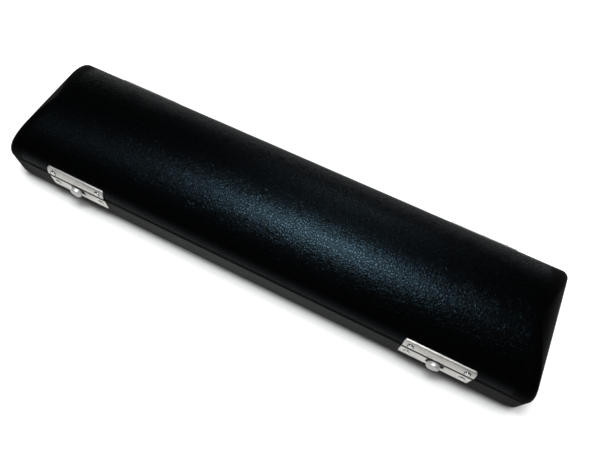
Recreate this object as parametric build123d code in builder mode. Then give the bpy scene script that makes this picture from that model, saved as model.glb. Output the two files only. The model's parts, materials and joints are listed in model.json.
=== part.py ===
from build123d import *
import math
import os

# Hard flute case: two wooden shells covered in black leatherette, a lined tray in the base, a padded
# lid, two sliding latches on the front and two butt hinges on the back.
# Millimetres. X runs along the case, -Y is the front with the latches, +Z is up.
# The origin is the middle of the underside, which lies on the table.

# ---------------------------------------------------------------- the shells
case_length = 400.0
case_width = 97.2
base_height = 22.0
rim_gap = 0.4
lid_rise = 24.3
base_inset = 0.1            # the base stands this far inside the lid, all round
corner_radius = 4.5         # corners in plan, and the soft edge round the ends of the lid
bottom_edge_radius = 4.3
rim_round = 1.0             # rounding of both rims, which makes the dark groove between them
shoulder_radius = 14.0      # arcs that turn the lid's arch down into its long walls
end_wall = 2.0              # straight part of the lid's end walls
end_turn = 75.0             # degrees that the lid's end wall turns before it meets the crown
skin = 0.8                  # leatherette
board = 4.5                 # wooden walls
floor_board = 3.2
turn_in_depth = 5.0         # the leatherette turned over a rim and down inside it
turn_under = 12.0           # the leatherette turned under the base, from its edge to the bottom sheet
sheet_gap = 0.2             # between that edge and the bottom sheet

# ---------------------------------------------------------------- the lining
seat_clearance = 0.2
tray_below_rim = 1.8
channel_depth = 14.2
pile = 1.0                  # plush over the foam
body_channel_length = 356.0
body_channel_width = 33.0
joint_channel_width = 30.0
channel_rib = 6.0           # between the two long channels
head_channel_length = 226.0
divider_length = 16.0
channel_round = 10.0        # rounding along the bottom of a channel
scoop_radius = 15.0         # finger scoops between the two channels
scoop_lift = 2.0            # a scoop's centre above the tray
scoop_offset = 95.0         # each scoop from the middle of the case
lid_pad = 3.0
pad_above_rim = 1.5
lining_above_rim = 0.7

# ---------------------------------------------------------------- the latches
latch_to_end = 60.9         # each latch's middle, from its end of the case
plate_length = 48.0
plate_thickness = 0.9
plate_corner = 1.5
plate_setback = 0.3         # a plate's edge from its own rim
strike_plate_height = 7.8
lock_plate_height = 11.5
window_height = 6.0
window_corner = 0.4
window_bridge = 0.9         # metal left between the window and the plate's upper edge
knob_rest = -0.5            # the knob's place in its window when the latch is shut
knob_travel = 4.5
knob_radius = 4.4
knob_height = 3.2
knob_dome = 1.0
knob_standoff = 0.4         # between the knob and the plate
neck_radius = 1.6
neck_clearance = 0.4        # between the neck and its window's end when the latch is open
tail_radius = 1.0
rivet_clearance = 0.05
rivet_spacing = 38.0        # between the two rivets of one plate
rivet_radius = 1.7
rivet_height = 0.6
rivet_shank_radius = 0.8
rivet_length = 3.0

housing_length = 32.0
housing_depth = 3.8
housing_wall = 0.5
housing_below_rim = 0.2
housing_height = 8.0
bolt_thickness = 1.0
bolt_behind_plate = 1.0     # from the plate's back to the bolt and the tongue
bolt_block_height = 4.0
bolt_nose_height = 1.5
bolt_block_left = 2.4       # from the knob's axis
bolt_block_right = 4.6
tongue_width = 5.0
tongue_depth = 6.8          # below the base's rim
tongue_bridge = 1.0
plate_overlap = 0.3         # how far the tongue's bridge runs into the strike plate
bridge_lift = 0.4           # the tongue's bridge above the strike plate's lower edge
tongue_clearance = 0.4      # round the tongue, in its slot
nose_gap = 0.25             # between the bolt's nose and the tongue
hook_reach = 2.0
hook_height = 2.1
nose_length = 3.0
spring_radius = 1.05
spring_wire = 0.2
spring_turns = 10
spring_end_gap = 0.1

# ---------------------------------------------------------------- the hinges
hinge_length = 48.0
knuckle_radius = 1.3
knuckle_count = 5
knuckle_gap = 0.2
knuckle_to_wall = 0.1
tab_overlap = 0.3           # how far a knuckle's tab runs up over its leaf
pin_radius = 0.6
pin_clearance = 0.05
pin_head_radius = 1.0
pin_head_height = 0.5
leaf_thickness = 0.5
leaf_height = 7.6           # from the pin's axis to a leaf's far edge
leaf_corner = 1.2
leaf_clearance = 0.4        # between a leaf and the other leaf's knuckles
web_thickness = 0.5
screw_spacing = 17.0
screw_count = 3
screw_radius = 1.4
screw_height = 0.4
screw_shank_radius = 0.7
screw_length = 3.4
screw_slot_width = 0.4
screw_slot_depth = 0.25
shank_clearance = 0.05      # round every rivet and screw in its hole
head_softness = 0.9         # share of a head's height that its rounding takes

# ---------------------------------------------------------------- worked-out places
lid_base = base_height + rim_gap
case_height = lid_base + lid_rise
front_wall = -(case_width / 2 - base_inset)
crown_radius = ((case_width / 2 - shoulder_radius) ** 2 + lid_rise**2 - shoulder_radius**2) / (
    2 * (lid_rise - shoulder_radius)
)
arch_split = math.degrees(math.atan2(crown_radius - lid_rise, case_width / 2 - shoulder_radius))
end_radius = (lid_rise - end_wall) / math.sin(math.radians(end_turn))
wall = skin + board
mouth = wall + skin
tray_inset = base_inset + mouth + seat_clearance
tray_width = case_width - 2 * tray_inset
cavity_floor = skin + floor_board
tray_top = base_height - tray_below_rim
channel_floor = tray_top - channel_depth
side_land = (tray_width - body_channel_width - joint_channel_width - channel_rib) / 2
body_channel_y = -tray_width / 2 + side_land + body_channel_width / 2
joint_channel_y = tray_width / 2 - side_land - joint_channel_width / 2
rib_y = body_channel_y + (body_channel_width + channel_rib) / 2
channel_start = -body_channel_length / 2
divider_start = channel_start + head_channel_length
divider_end = divider_start + divider_length
lid_lining_inset = wall + lid_pad + pile

latch_offset = case_length / 2 - latch_to_end
latch_centres = {"left": -latch_offset, "right": latch_offset}
plate_back = front_wall
plate_front = front_wall - plate_thickness
window_width = 2 * (knob_rest + knob_travel + neck_radius + neck_clearance)
window_top = base_height - plate_setback - window_bridge
window_middle = window_top - window_height / 2
lock_plate_top = base_height - plate_setback
lock_plate_middle = lock_plate_top - lock_plate_height / 2
strike_plate_bottom = lid_base + plate_setback
strike_plate_span = (strike_plate_bottom, strike_plate_bottom + strike_plate_height)
housing_top = base_height - housing_below_rim
housing_bottom = housing_top - housing_height
housing_back = front_wall + housing_depth
bolt_front = plate_back + bolt_behind_plate
bolt_back = bolt_front + bolt_thickness
bolt_middle = (bolt_front + bolt_back) / 2
nose_tip = knob_rest - bolt_block_left - nose_length
tongue_right = nose_tip - nose_gap
tongue_left = tongue_right - tongue_width
bolt_end = knob_rest + bolt_block_right
spring_start = bolt_end + spring_end_gap + spring_wire
spring_end = housing_length / 2 - housing_wall - spring_end_gap - spring_wire
knob_back = plate_front - knob_standoff
plate_root = -case_width / 2 - plate_overlap
tongue_bridge_top = strike_plate_bottom + bridge_lift + tongue_bridge

hinge_y = case_width / 2 + knuckle_to_wall + knuckle_radius
hinge_z = base_height + rim_gap / 2
base_back_wall = case_width / 2 - base_inset
knuckle_pitch = hinge_length / knuckle_count
bore_radius = pin_radius + pin_clearance
leaf_start = knuckle_radius + leaf_clearance
leaf_middle = (leaf_start + leaf_height) / 2
lid_leaf_span = (hinge_z + leaf_start, hinge_z + leaf_height)


def along(x, y, z):
    """A plane that faces along the case, +X, with its own X to the back and its own Y up."""
    return Plane(origin=(x, y, z), x_dir=(0, 1, 0), z_dir=(1, 0, 0))


def facing_front(x, y, z):
    """A plane that faces the front, -Y, with its own X along the case and its own Y up."""
    return Plane(origin=(x, y, z), x_dir=(1, 0, 0), z_dir=(0, -1, 0))


def block(x_span, y_span, z_span, mode=Mode.ADD):
    """A block between two corners, in the part that is being built."""
    centre = ((x_span[0] + x_span[1]) / 2, (y_span[0] + y_span[1]) / 2, (z_span[0] + z_span[1]) / 2)
    with Locations(centre):
        Box(x_span[1] - x_span[0], y_span[1] - y_span[0], z_span[1] - z_span[0], mode=mode)


def base_form(inset, bottom, top, edge_radius=0.0):
    """The base's rounded box, drawn in by inset, between two heights."""
    inner_corner = max(corner_radius - inset, 1.0)
    with BuildPart() as form:
        with BuildSketch(Plane.XY.offset(bottom)):
            RectangleRounded(
                case_length - 2 * (base_inset + inset), case_width - 2 * (base_inset + inset), inner_corner
            )
        extrude(amount=top - bottom)
        if edge_radius > 0:
            fillet(form.faces().sort_by(Axis.Z)[0].edges(), edge_radius)
    return form.part


def lid_form(inset, low=0.0, high=lid_rise, soft=False):
    """The lid's arched form, drawn in by inset: the arch along X, cut by the profile of the ends.

    Only the part between two heights above the lid's rim is kept."""
    half_width = case_width / 2 - inset
    shoulder = shoulder_radius - inset
    crown = crown_radius - inset
    half_length = case_length / 2 - inset
    end = end_radius - inset
    end_centre = case_length / 2 - end_radius
    with BuildPart() as form:
        with BuildSketch(along(0, 0, lid_base)):
            with BuildLine():
                CenterArc((half_width - shoulder, 0), shoulder, 0, arch_split)
                CenterArc((0, lid_rise - crown_radius), crown, arch_split, 180 - 2 * arch_split)
                CenterArc((shoulder - half_width, 0), shoulder, 180 - arch_split, arch_split)
                Line((-half_width, 0), (half_width, 0))
            make_face()
        extrude(amount=case_length / 2, both=True)
        with BuildSketch(facing_front(0, 0, lid_base)):
            with BuildLine():
                Line((half_length, end_wall), (half_length, 0))
                Line((half_length, 0), (-half_length, 0))
                Line((-half_length, 0), (-half_length, end_wall))
                CenterArc((-end_centre, end_wall), end, 90, 90)
                Line((-end_centre, end_wall + end), (end_centre, end_wall + end))
                CenterArc((end_centre, end_wall), end, 0, 90)
            make_face()
        extrude(amount=case_width, both=True, mode=Mode.INTERSECT)
        if soft:
            crease = form.edges().filter_by(Axis.X, reverse=True).filter_by(Axis.Y, reverse=True)
            fillet(crease, corner_radius - inset)
        if low > 0 or high < lid_rise:
            block(
                (-case_length, case_length),
                (-case_width, case_width),
                (lid_base + low, lid_base + high),
                Mode.INTERSECT,
            )
    return form.part


def save(built, name):
    """Names a finished piece and writes it."""
    built.part.label = name
    export_step(built.part, f"parts/{name}.step")


def block_from(centre, x_span, y_span, z_span, mode=Mode.ADD):
    """A block whose X span is counted from a latch's or hinge's middle."""
    block((centre + x_span[0], centre + x_span[1]), y_span, z_span, mode)


def spaced(centre, count, spacing):
    """X of a row of equally spaced fasteners about a middle."""
    return [centre + (i - (count - 1) / 2) * spacing for i in range(count)]


def base_seats(front, height, count, spacing):
    """Planes on the outside of the base plates, one for each fastener, facing outwards."""
    y = front_wall - plate_thickness if front else base_back_wall + leaf_thickness
    out = (0, -1, 0) if front else (0, 1, 0)
    return [
        Plane(origin=(x, y, height), x_dir=(1, 0, 0), z_dir=out)
        for centre in latch_centres.values()
        for x in spaced(centre, count, spacing)
    ]


def lid_seats(front, height, thickness, count, spacing):
    """The same on the lid's plates, which follow the arch's shoulder, at a height above the lid's rim."""
    reach = shoulder_radius + thickness
    tilt = math.asin(height / reach)
    side = -1 if front else 1
    y = side * (case_width / 2 - shoulder_radius + reach * math.cos(tilt))
    out = (0, side * math.cos(tilt), math.sin(tilt))
    return [
        Plane(origin=(x, y, lid_base + height), x_dir=(1, 0, 0), z_dir=out)
        for centre in latch_centres.values()
        for x in spaced(centre, count, spacing)
    ]


def fastener_holes(planes, shank_radius, length):
    """Clearance holes for fasteners, straight in from each plane."""
    with Locations(*planes):
        Cylinder(
            shank_radius + shank_clearance,
            2 * (length + shank_clearance),
            mode=Mode.SUBTRACT,
        )


def fastener_form(head_radius, head_height, shank_radius, length, slotted):
    """A fastener with a domed head on the XY plane and its shank below."""
    with BuildPart() as form:
        Cylinder(head_radius, head_height, align=(Align.CENTER, Align.CENTER, Align.MIN))
        fillet(form.edges().sort_by(Axis.Z)[-1], head_height * head_softness)
        Cylinder(shank_radius, length, align=(Align.CENTER, Align.CENTER, Align.MAX))
        if slotted:
            slot_width = 2 * head_radius
            block(
                (-slot_width, slot_width),
                (-screw_slot_width / 2, screw_slot_width / 2),
                (head_height - screw_slot_depth, head_height),
                Mode.SUBTRACT,
            )
    return form.part


rivet_planes_base = base_seats(True, lock_plate_middle, 2, rivet_spacing)
rivet_planes_lid = lid_seats(True, plate_setback + strike_plate_height / 2, plate_thickness, 2, rivet_spacing)
screw_planes_base = base_seats(False, hinge_z - leaf_middle, screw_count, screw_spacing)
screw_planes_lid = lid_seats(False, leaf_middle - rim_gap / 2, leaf_thickness, screw_count, screw_spacing)


def arch_plate(side, centre, length, thickness, z_span, corner):
    """A plate that follows the lid's shoulder on one side, the front at -1 or the back at 1."""
    middle = (z_span[0] + z_span[1]) / 2
    with BuildPart() as form:
        with BuildSketch(along(centre, 0, lid_base)):
            with Locations((side * (case_width / 2 - shoulder_radius), 0)):
                Circle(shoulder_radius + thickness)
                Circle(shoulder_radius, mode=Mode.SUBTRACT)
        extrude(amount=length / 2, both=True)
        with BuildSketch(facing_front(centre, side * case_width / 2, middle)):
            RectangleRounded(length, z_span[1] - z_span[0], corner)
        extrude(amount=shoulder_radius, both=True, mode=Mode.INTERSECT)
    return form.part


def cut_lock_recess():
    """The recess for each lock's housing, open to the front and to the rim."""
    for centre in latch_centres.values():
        block_from(
            centre,
            (-housing_length / 2 - seat_clearance, housing_length / 2 + seat_clearance),
            (-case_width, housing_back),
            (housing_bottom - seat_clearance, case_height),
            Mode.SUBTRACT,
        )


def cut_tongue_notch():
    """The notch in the lid's rim that each strike plate's tongue comes through."""
    for centre in latch_centres.values():
        block_from(
            centre,
            (tongue_left - tongue_clearance, tongue_right + tongue_clearance),
            (-case_width, bolt_back + tongue_clearance),
            (0, tongue_bridge_top + tongue_clearance),
            Mode.SUBTRACT,
        )


os.makedirs("parts", exist_ok=True)

# ---------------------------------------------------------------- base shell
with BuildPart() as base_core:
    add(base_form(skin, skin, base_height - skin, bottom_edge_radius - skin))
    add(base_form(wall, cavity_floor, base_height), mode=Mode.SUBTRACT)
    cut_lock_recess()
    fastener_holes(rivet_planes_base, rivet_shank_radius, rivet_length)
    fastener_holes(screw_planes_base, screw_shank_radius, screw_length)
save(base_core, "base_core")

# Wrapped round the walls, over the rim and a little way down inside, and turned under the bottom.
with BuildPart() as base_covering:
    add(base_form(0, 0, base_height, bottom_edge_radius))
    fillet(base_covering.faces().sort_by(Axis.Z)[-1].edges(), rim_round)
    add(base_form(skin, skin, base_height - skin, bottom_edge_radius - skin), mode=Mode.SUBTRACT)
    add(base_form(wall, base_height - turn_in_depth, base_height - skin))
    add(base_form(mouth, base_height - turn_in_depth, base_height), mode=Mode.SUBTRACT)
    add(base_form(turn_under, 0, skin), mode=Mode.SUBTRACT)
    cut_lock_recess()
    fastener_holes(rivet_planes_base, rivet_shank_radius, rivet_length)
    fastener_holes(screw_planes_base, screw_shank_radius, screw_length)
save(base_covering, "base_covering")

with BuildPart() as base_bottom_sheet:
    add(base_form(turn_under + sheet_gap, 0, skin))
save(base_bottom_sheet, "base_bottom_sheet")

# ---------------------------------------------------------------- lid shell
with BuildPart() as lid_core:
    add(lid_form(skin, low=skin, soft=True))
    add(lid_form(wall), mode=Mode.SUBTRACT)
    cut_tongue_notch()
    fastener_holes(rivet_planes_lid, rivet_shank_radius, rivet_length)
    fastener_holes(screw_planes_lid, screw_shank_radius, screw_length)
save(lid_core, "lid_core")

with BuildPart() as lid_covering:
    add(lid_form(0, soft=True))
    fillet(lid_covering.faces().sort_by(Axis.Z)[0].edges(), rim_round)
    add(lid_form(skin, low=skin, soft=True), mode=Mode.SUBTRACT)
    add(lid_form(wall, low=skin, high=turn_in_depth))
    add(lid_form(mouth), mode=Mode.SUBTRACT)
    cut_tongue_notch()
    fastener_holes(rivet_planes_lid, rivet_shank_radius, rivet_length)
    fastener_holes(screw_planes_lid, screw_shank_radius, screw_length)
save(lid_covering, "lid_covering")

with BuildPart() as lid_foam:
    add(lid_form(wall, low=turn_in_depth))
    add(lid_form(mouth, low=pad_above_rim, high=turn_in_depth))
    add(lid_form(wall + lid_pad), mode=Mode.SUBTRACT)
save(lid_foam, "lid_foam")

with BuildPart() as lid_lining:
    add(lid_form(wall + lid_pad, low=pad_above_rim))
    add(lid_form(mouth, low=lining_above_rim, high=pad_above_rim))
    add(lid_form(lid_lining_inset), mode=Mode.SUBTRACT)
save(lid_lining, "lid_lining")


# ---------------------------------------------------------------- lined tray
def channel_form(start, end, middle, width, grow):
    """The space of one channel with rounded lower edges, grown on every side."""
    with BuildPart() as form:
        block(
            (start - grow, end + grow),
            (middle - width / 2 - grow, middle + width / 2 + grow),
            (channel_floor - grow, case_height),
        )
        fillet(form.edges().filter_by(Axis.X).group_by(Axis.Z)[0], channel_round + grow)
    return form.part


def tray_spaces(grow):
    """Everything that is hollowed out of the tray, grown on every side."""
    body = channel_form(channel_start, -channel_start, body_channel_y, body_channel_width, grow)
    joints = channel_form(channel_start, -channel_start, joint_channel_y, joint_channel_width, grow)
    scoop_length = joint_channel_y - body_channel_y
    with BuildPart() as form:
        add(body)
        add(joints)
        with Locations(
            Plane(origin=(-scoop_offset, rib_y, tray_top + scoop_lift), z_dir=(0, 1, 0)),
            Plane(origin=(scoop_offset, rib_y, tray_top + scoop_lift), z_dir=(0, 1, 0)),
        ):
            Cylinder(scoop_radius + grow, scoop_length)
    return form.part


with BuildPart() as tray_foam:
    add(base_form(mouth + seat_clearance, cavity_floor, tray_top - pile))
    add(tray_spaces(pile), mode=Mode.SUBTRACT)
save(tray_foam, "tray_foam")

with BuildPart() as tray_lining:
    add(tray_spaces(pile))
    add(base_form(mouth + seat_clearance, channel_floor - pile, tray_top - pile), mode=Mode.INTERSECT)
    add(base_form(mouth + seat_clearance, tray_top - pile, tray_top))
    add(tray_spaces(0), mode=Mode.SUBTRACT)
save(tray_lining, "tray_lining")

# The block between the head joint's and the foot joint's places, in the same long channel.
with BuildPart() as channel_divider:
    add(channel_form(divider_start, divider_end, joint_channel_y, joint_channel_width, -seat_clearance))
    block(
        (-case_length, case_length),
        (-case_width, case_width),
        (tray_top, 2 * case_height),
        Mode.SUBTRACT,
    )
save(channel_divider, "channel_divider")

# ---------------------------------------------------------------- latches
for side, centre in latch_centres.items():
    # The strike plate follows the lid's shoulder; its tongue goes down behind the lock plate.
    with BuildPart() as strike_plate:
        add(arch_plate(-1, centre, plate_length, plate_thickness, strike_plate_span, plate_corner))
        fastener_holes(rivet_planes_lid, rivet_shank_radius, rivet_length)
        block_from(
            centre,
            (tongue_left, tongue_right),
            (plate_root, bolt_back),
            (tongue_bridge_top - tongue_bridge, tongue_bridge_top),
        )
        block_from(
            centre,
            (tongue_left, tongue_right),
            (bolt_front, bolt_back),
            (base_height - tongue_depth, tongue_bridge_top),
        )
        block_from(
            centre,
            (tongue_right - hook_reach, tongue_right + hook_reach),
            (bolt_front, bolt_back),
            (window_middle - hook_height / 2, window_middle + hook_height / 2),
            Mode.SUBTRACT,
        )
    save(strike_plate, f"{side}_strike_plate")

    with BuildPart() as lock_plate:
        with BuildSketch(facing_front(centre, plate_back, lock_plate_middle)):
            RectangleRounded(plate_length, lock_plate_height, plate_corner)
            with Locations((0, window_middle - lock_plate_middle)):
                RectangleRounded(window_width, window_height, window_corner, mode=Mode.SUBTRACT)
        extrude(amount=plate_thickness)
        fastener_holes(rivet_planes_base, rivet_shank_radius, rivet_length)
    save(lock_plate, f"{side}_lock_plate")

    with BuildPart() as lock_housing:
        block_from(
            centre,
            (-housing_length / 2, housing_length / 2),
            (plate_back, housing_back),
            (housing_bottom, housing_top),
        )
        block_from(
            centre,
            (housing_wall - housing_length / 2, housing_length / 2 - housing_wall),
            (-case_width, housing_back - housing_wall),
            (housing_bottom + housing_wall, housing_top - housing_wall),
            Mode.SUBTRACT,
        )
        block_from(
            centre,
            (tongue_left - tongue_clearance, tongue_right + tongue_clearance),
            (-case_width, bolt_back + tongue_clearance),
            (housing_top - housing_wall, housing_top),
            Mode.SUBTRACT,
        )
    save(lock_housing, f"{side}_lock_housing")

    # The knob's tail is riveted into the bolt, so they slide as one.
    with BuildPart() as lock_bolt:
        block_from(
            centre,
            (knob_rest - bolt_block_left, bolt_end),
            (bolt_front, bolt_back),
            (window_middle - bolt_block_height / 2, window_middle + bolt_block_height / 2),
        )
        block_from(
            centre,
            (nose_tip, knob_rest),
            (bolt_front, bolt_back),
            (window_middle - bolt_nose_height / 2, window_middle + bolt_nose_height / 2),
        )
        with Locations(facing_front(centre + knob_rest, bolt_middle, window_middle)):
            Cylinder(tail_radius + rivet_clearance, 2 * bolt_thickness, mode=Mode.SUBTRACT)
    save(lock_bolt, f"{side}_lock_bolt")

    with BuildPart() as lock_knob:
        with Locations(facing_front(centre + knob_rest, knob_back, window_middle)):
            Cylinder(knob_radius, knob_height, align=(Align.CENTER, Align.CENTER, Align.MIN))
            Cylinder(neck_radius, bolt_front - knob_back, align=(Align.CENTER, Align.CENTER, Align.MAX))
            Cylinder(tail_radius, bolt_back - knob_back, align=(Align.CENTER, Align.CENTER, Align.MAX))
        fillet(lock_knob.edges().sort_by(Axis.Y)[0], knob_dome)
    save(lock_knob, f"{side}_lock_knob")

    # The spring pushes the bolt towards the tongue, from the housing's far wall.
    with BuildPart() as lock_spring:
        spring_length = spring_end - spring_start
        with BuildLine() as coil:
            Helix(
                spring_length / spring_turns,
                spring_length,
                spring_radius,
                center=(centre + spring_start, bolt_middle, window_middle),
                direction=(1, 0, 0),
            )
        with BuildSketch(Plane(coil.line @ 0, z_dir=coil.line % 0)):
            Circle(spring_wire)
        sweep()
    save(lock_spring, f"{side}_lock_spring")

# ---------------------------------------------------------------- fasteners of the latches
rivet_form = fastener_form(rivet_radius, rivet_height, rivet_shank_radius, rivet_length, False)

with BuildPart() as lock_plate_rivets:
    with Locations(*rivet_planes_base):
        add(rivet_form)
save(lock_plate_rivets, "lock_plate_rivets")

with BuildPart() as strike_plate_rivets:
    with Locations(*rivet_planes_lid):
        add(rivet_form)
save(strike_plate_rivets, "strike_plate_rivets")


# ---------------------------------------------------------------- hinges
def knuckle_span(centre, i):
    """X of one knuckle's two ends."""
    start = centre - hinge_length / 2 + i * knuckle_pitch
    return start + knuckle_gap / 2, start + knuckle_pitch - knuckle_gap / 2


def add_knuckles(centre, first, web_z, wall_y, tab_z):
    """Every second knuckle, joined to its leaf by a tab and a web, and bored for the pin."""
    for i in range(first, knuckle_count, 2):
        span = knuckle_span(centre, i)
        with Locations(along((span[0] + span[1]) / 2, hinge_y, hinge_z)):
            Cylinder(knuckle_radius, span[1] - span[0])
        block(span, (wall_y, hinge_y), web_z)
        block(span, (wall_y, wall_y + leaf_thickness), tab_z)
    with Locations(along(centre, hinge_y, hinge_z)):
        Cylinder(bore_radius, 2 * hinge_length, mode=Mode.SUBTRACT)


for side, centre in latch_centres.items():
    with BuildPart() as hinge_base_leaf:
        block_from(
            centre,
            (-hinge_length / 2, hinge_length / 2),
            (base_back_wall, base_back_wall + leaf_thickness),
            (hinge_z - leaf_height, hinge_z - leaf_start),
        )
        fillet(hinge_base_leaf.edges().filter_by(Axis.Y).group_by(Axis.Z)[0], leaf_corner)
        add_knuckles(
            centre,
            0,
            (hinge_z - knuckle_radius, hinge_z - knuckle_radius + web_thickness),
            base_back_wall,
            (hinge_z - leaf_start - tab_overlap, hinge_z - knuckle_radius + web_thickness),
        )
        fastener_holes(screw_planes_base, screw_shank_radius, screw_length)
    save(hinge_base_leaf, f"{side}_hinge_base_leaf")

    with BuildPart() as hinge_lid_leaf:
        add(arch_plate(1, centre, hinge_length, leaf_thickness, lid_leaf_span, leaf_corner))
        add_knuckles(
            centre,
            1,
            (hinge_z + knuckle_radius - web_thickness, hinge_z + knuckle_radius),
            case_width / 2,
            (hinge_z + knuckle_radius - web_thickness, hinge_z + leaf_start + tab_overlap),
        )
        fastener_holes(screw_planes_lid, screw_shank_radius, screw_length)
    save(hinge_lid_leaf, f"{side}_hinge_lid_leaf")

    with BuildPart() as hinge_pin:
        with Locations(along(centre, hinge_y, hinge_z)):
            Cylinder(pin_radius, hinge_length)
        with Locations(
            along(centre - (hinge_length + pin_head_height) / 2, hinge_y, hinge_z),
            along(centre + (hinge_length + pin_head_height) / 2, hinge_y, hinge_z),
        ):
            Cylinder(pin_head_radius, pin_head_height)
    save(hinge_pin, f"{side}_hinge_pin")

screw_form = fastener_form(screw_radius, screw_height, screw_shank_radius, screw_length, True)

with BuildPart() as hinge_base_screws:
    with Locations(*screw_planes_base):
        add(screw_form)
save(hinge_base_screws, "hinge_base_screws")

with BuildPart() as hinge_lid_screws:
    with Locations(*screw_planes_lid):
        add(screw_form)
save(hinge_lid_screws, "hinge_lid_screws")
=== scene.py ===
"""Slim hard case for a flute: black grained leatherette over wooden shells, sliding nickel latches, butt
hinges and a plush lining. Metres; X runs along the case, -Y is the front with the latches, +Z is up."""

import json
import math

import bmesh
import bpy
import numpy as np
from bpy.props import FloatProperty, FloatVectorProperty, IntProperty, PointerProperty
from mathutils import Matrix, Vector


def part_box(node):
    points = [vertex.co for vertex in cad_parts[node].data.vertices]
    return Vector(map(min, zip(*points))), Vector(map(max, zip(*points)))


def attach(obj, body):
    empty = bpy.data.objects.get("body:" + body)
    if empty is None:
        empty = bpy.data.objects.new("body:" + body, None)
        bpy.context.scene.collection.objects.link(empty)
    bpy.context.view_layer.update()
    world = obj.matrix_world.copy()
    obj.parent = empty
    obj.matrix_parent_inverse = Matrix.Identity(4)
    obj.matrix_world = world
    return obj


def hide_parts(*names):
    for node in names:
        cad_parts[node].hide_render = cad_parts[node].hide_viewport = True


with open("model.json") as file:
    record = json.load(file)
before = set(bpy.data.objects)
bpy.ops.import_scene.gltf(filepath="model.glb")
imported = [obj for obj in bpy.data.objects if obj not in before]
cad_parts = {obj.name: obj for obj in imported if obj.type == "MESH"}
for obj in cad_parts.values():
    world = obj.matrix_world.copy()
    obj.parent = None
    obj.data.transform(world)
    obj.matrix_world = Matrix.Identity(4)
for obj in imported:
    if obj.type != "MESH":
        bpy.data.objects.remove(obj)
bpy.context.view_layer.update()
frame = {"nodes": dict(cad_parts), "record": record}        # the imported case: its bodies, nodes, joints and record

bl_info = {
    "name": "Flute case",
    "version": (1, 0, 0),
    "blender": (4, 5, 0),
    "location": "3D View > Sidebar > Flute case",
    "description": "Dresses the packed flute case in leatherette, plush and nickel",
    "category": "Object",
}

MM = 0.001
SIDES = ("left", "right")
RECORD = frame["record"]
BODY_OF = {node: body for body, nodes in RECORD["behaviour"]["bodies"].items() for node in nodes}
SLOT_OF = {part["node"]: part["material_slot"] for part in RECORD["subparts"]}


def corners(node):
    """The low and the high corner of a node's box, as the two rows of an array."""
    return np.array(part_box(node))


LID_LOW, LID_HIGH = corners("lid_covering")
BASE_LOW, BASE_HIGH = corners("base_covering")
FOAM_LOW, FOAM_HIGH = corners("tray_foam")
DIVIDER_LOW, DIVIDER_HIGH = corners("channel_divider")
PLATE_LOW, PLATE_HIGH = corners("right_lock_plate")
LOCK_RIVETS = corners("lock_plate_rivets")
STRIKE_RIVETS = corners("strike_plate_rivets")
HOUSINGS = [corners(f"{side}_lock_housing") for side in SIDES]
TRAY_TOP = corners("tray_lining")[1, 2]
STRIKE_TOP = corners("right_strike_plate")[1, 2]
SEAM = (BASE_HIGH[2] + LID_LOW[2]) / 2      # height of the parting line

CLOSE = 0.005 * MM                   # points of a new piece that are nearer than this are one
CAD_CLOSE = 0.002 * MM               # the same, for a copy of a CAD node
FLAT_ANGLE = math.radians(0.6)       # faces of such a copy that turn less than this are one face
SHARP_ANGLE = math.radians(38)       # its edges that turn more than this are softened
CORNER_STEPS = 8                     # steps round each corner in plan
FLOOR_RADIUS, FLOOR_SIDES, FLOOR_GAP = 6.0, 64, 0.1 * MM
FLOOR_SHADOW = 18 * MM               # how far the dark reaches along the floor round the case


# ---------------------------------------------------------------- settings
def length(name, description, default_mm):
    """A property that holds a length, given in millimetres."""
    return FloatProperty(
        name=name, description=description, default=default_mm * MM, unit="LENGTH", precision=5
    )


def colour(name, description, default):
    """A property that holds a linear colour."""
    return FloatVectorProperty(
        name=name, description=description, default=default, subtype="COLOR", size=3, min=0.0, max=1.0
    )


def factor(name, description, default):
    """A property that holds a plain number."""
    return FloatProperty(name=name, description=description, default=default, subtype="FACTOR")


def power(name, description, default):
    """A property that holds a lamp's power."""
    return FloatProperty(name=name, description=description, default=default, min=0.0)


class CaseShellSettings(bpy.types.PropertyGroup):
    """Sizes of the two shells and of the leatherette over them"""

    shoulder: length("Shoulder radius", "Arcs that turn the lid's arch into its long walls", 14.0)
    end_wall: length("End wall", "Straight part of the lid's end walls", 2.0)
    end_turn: FloatProperty(
        name="End turn",
        description="Angle that the lid's end wall turns before it meets the crown",
        default=math.radians(75),
        unit="ROTATION",
    )
    corner: length("Corner radius", "Corners in plan, and the soft edge round the lid's ends", 4.5)
    bottom_edge: length("Bottom edge", "Rounding along the bottom of the base", 4.3)
    skin: length("Leatherette", "Thickness of the leatherette", 0.8)
    board: length("Board", "Thickness of the wooden walls", 4.5)
    rim_round: length("Rim rounding", "Rounding of the leatherette over a rim", 1.0)
    turn_in: length("Turn-in", "How far the leatherette goes down inside a rim", 5.0)
    turn_under: length("Turn-under", "How far the leatherette goes in under the base", 12.0)
    ripple: length("Ripple", "Height of the slow waves in the leatherette", 0.05)
    columns: IntProperty(name="Columns", description="Steps along each long side", default=300)


class CaseLiningSettings(bpy.types.PropertyGroup):
    """Sizes of the tray and of the plush in the lid"""

    channel_depth: length("Channel depth", "Depth of the channels below the tray's top", 14.2)
    channel_round: length("Channel rounding", "Rounding along the bottom of a channel", 10.0)
    body_channel_length: length("Body channel", "Length of both long channels", 356.0)
    body_channel_width: length("Body channel width", "Width of the front channel", 33.0)
    joint_channel_width: length("Joint channel width", "Width of the rear channel", 30.0)
    rib: length("Rib", "Width of the rib between the two channels", 6.0)
    lip: length("Lip", "Rounding of the plush over a channel's edge", 1.8)
    scoop_radius: length("Scoop radius", "Radius of the finger scoops", 15.0)
    scoop_offset: length("Scoop offset", "Each finger scoop from the middle", 95.0)
    lid_inset: length("Lid lining", "From the lid's outside to the plush inside it", 9.3)
    swell: length("Swell", "How far the padding under the plush swells and sinks", 0.35)


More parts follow.
